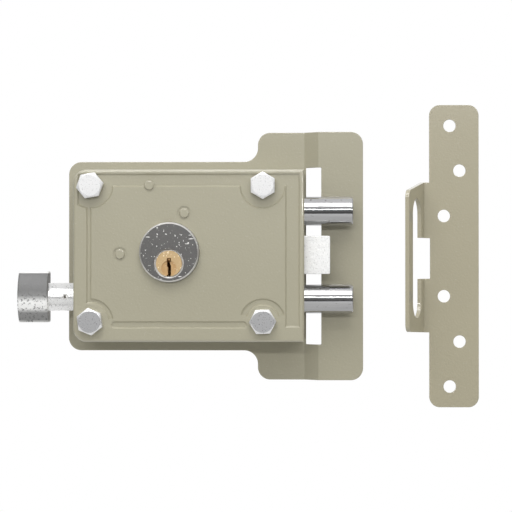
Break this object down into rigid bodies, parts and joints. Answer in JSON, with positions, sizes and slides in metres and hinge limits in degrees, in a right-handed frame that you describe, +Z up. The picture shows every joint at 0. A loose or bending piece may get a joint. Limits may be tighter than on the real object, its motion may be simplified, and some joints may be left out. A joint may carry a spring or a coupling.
{
  "type": "rim box lock",
  "caption": "Surface-mounted box lock with round deadbolts thrown by a keyed cylinder, a sprung latch drawn back by a pull knob, and a separate slotted strike plate.",
  "frame": {"origin": "centre of the rectangle of case bolts, on the plane of the door face", "axes": "+X is the direction in which the bolts are thrown, +Z is up, +Y points into the door, so the lock stands out of the door face towards -Y"},
  "size_m": [0.232, 0.0678, 0.1536],
  "materials": {
    "case_paint": "satin putty-grey enamel",
    "strike_paint": "satin putty-grey enamel",
    "bright_zinc": "bright plated",
    "plain_steel": "plain",
    "cylinder_steel": "satin, scratched",
    "bolt_chrome": "bright",
    "brass": "satin"
  },
  "bodies": {
    "case": {"back_plate": "case_paint", "cover": "case_paint", "case_bolts": "bright_zinc", "case_nuts": "plain_steel", "post_rivets": "bright_zinc", "guide_plate": "plain_steel", "bolt_guide": "plain_steel", "guide_studs": "plain_steel", "bar_staple": "plain_steel", "cylinder_shell": "cylinder_steel", "cylinder_nut": "plain_steel", "chamber_cap": "brass", "driver_pins": "brass", "pin_springs": "plain_steel", "latch_spring": "plain_steel", "strike": "strike_paint"},
    "plug": {"plug": "brass", "key_pins": "brass", "drive_cam": "plain_steel", "cam_screws": "plain_steel"},
    "deadbolts": {"deadbolt_upper": "bolt_chrome", "deadbolt_lower": "bolt_chrome", "bolt_carriage": "plain_steel", "carriage_rivets": "plain_steel"},
    "latch": {"latch_bolt": "bright_zinc", "latch_bar": "plain_steel", "pull_shaft": "bright_zinc", "pull_knob": "bolt_chrome", "shaft_pin": "plain_steel", "knob_pin": "plain_steel"}
  },
  "joints": [
    {"name": "deadbolt_throw", "type": "slide", "parent": "case", "child": "deadbolts", "axis": [1, 0, 0], "range_m": [-0.0244, 0]},
    {"name": "plug_turn", "type": "hinge", "parent": "case", "child": "plug", "pos_m": [-0.0035, -0.02, -0.0049], "axis": [0, -1, 0], "range_deg": [0, 180]},
    {"name": "latch_slide", "type": "slide", "parent": "case", "child": "latch", "axis": [1, 0, 0], "range_m": [-0.0129, 0], "stiffness_N_per_m": 400, "springref_m": 0.012, "deforming": ["latch_spring"]}
  ],
  "couplings": [
    {"joint": "plug_turn", "follows": "deadbolt_throw", "rad_per_m": -128.75}
  ]
}
